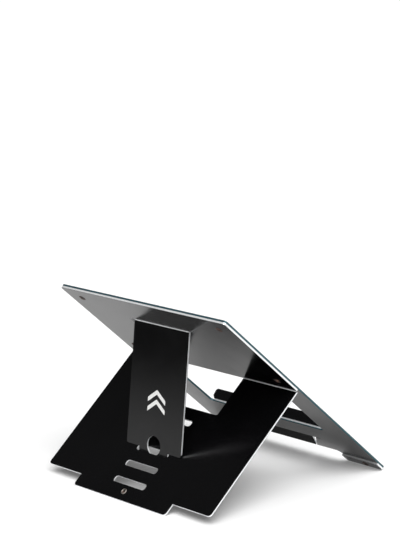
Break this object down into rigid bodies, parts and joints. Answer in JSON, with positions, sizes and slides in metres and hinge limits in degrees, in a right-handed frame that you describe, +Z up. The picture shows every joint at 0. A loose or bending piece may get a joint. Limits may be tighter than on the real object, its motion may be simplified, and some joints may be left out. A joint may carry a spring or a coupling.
{
  "type": "laptop stand",
  "caption": "Folding laptop stand of thin black-faced aluminium panels: sloping support plate with a ledge, a slotted leg and a prop strut.",
  "frame": {"origin": "on the table, at the centre of the footprint of the stand as it stands open", "axes": "+Z up, +X to the user's right, +Y away from the user, towards the raised rear edge and the leg's tip"},
  "size_m": [0.236, 0.2568, 0.1925],
  "materials": {
    "film": "satin black laminated film",
    "inner_film": "satin black laminated film",
    "alloy": "milled bare aluminium edge",
    "rubber": "matte black rubber",
    "flap_film": "matt black flocked film",
    "ink": "white screen-printed ink",
    "eyelet": "rolled metal eyelet, satin"
  },
  "bodies": {
    "plate": {"support_sheet": "alloy", "support_face_film": "film", "support_under_film": "film", "rear_backing": "alloy", "rear_film": "film", "right_foot_plate": "alloy", "right_foot_film": "film", "left_foot_plate": "alloy", "left_foot_film": "film", "rear_bumpers": "rubber", "middle_bumpers": "rubber", "front_bumpers": "rubber"},
    "leg": {"leg_sheet": "alloy", "leg_outer_film": "film", "leg_inner_film": "inner_film", "leg_eyelet": "eyelet", "leg_eyelet_plug": "rubber"},
    "strut": {"strut_sheet": "alloy", "strut_outer_film": "film", "strut_inner_film": "inner_film"},
    "ledge": {"ledge_sheet": "alloy", "ledge_front_film": "film", "ledge_stop_film": "film"},
    "flap": {"flap_sheet": "alloy", "flap_top_film": "flap_film", "flap_under_film": "flap_film"}
  },
  "joints": [
    {"name": "leg_fold", "type": "hinge", "parent": "plate", "child": "leg", "pos_m": [0, 0.0012, 0.10747], "axis": [-1, 0, 0], "range_deg": [0, 99.8]},
    {"name": "strut_fold", "type": "hinge", "parent": "plate", "child": "strut", "pos_m": [0, 0.06832, 0.16439], "axis": [-1, 0, 0], "range_deg": [0, 55.77]},
    {"name": "ledge_fold", "type": "hinge", "parent": "plate", "child": "ledge", "pos_m": [0, -0.07749, 0.04612], "axis": [-1, 0, 0], "range_deg": [0, 90]},
    {"name": "flap_fold", "type": "hinge", "parent": "plate", "child": "flap", "pos_m": [0, -0.09762, 0.02904], "axis": [-1, 0, 0], "range_deg": [0, 75]}
  ],
  "couplings": [
    {"joint": "strut_fold", "follows": "leg_fold", "ratio": 0.5586}
  ]
}
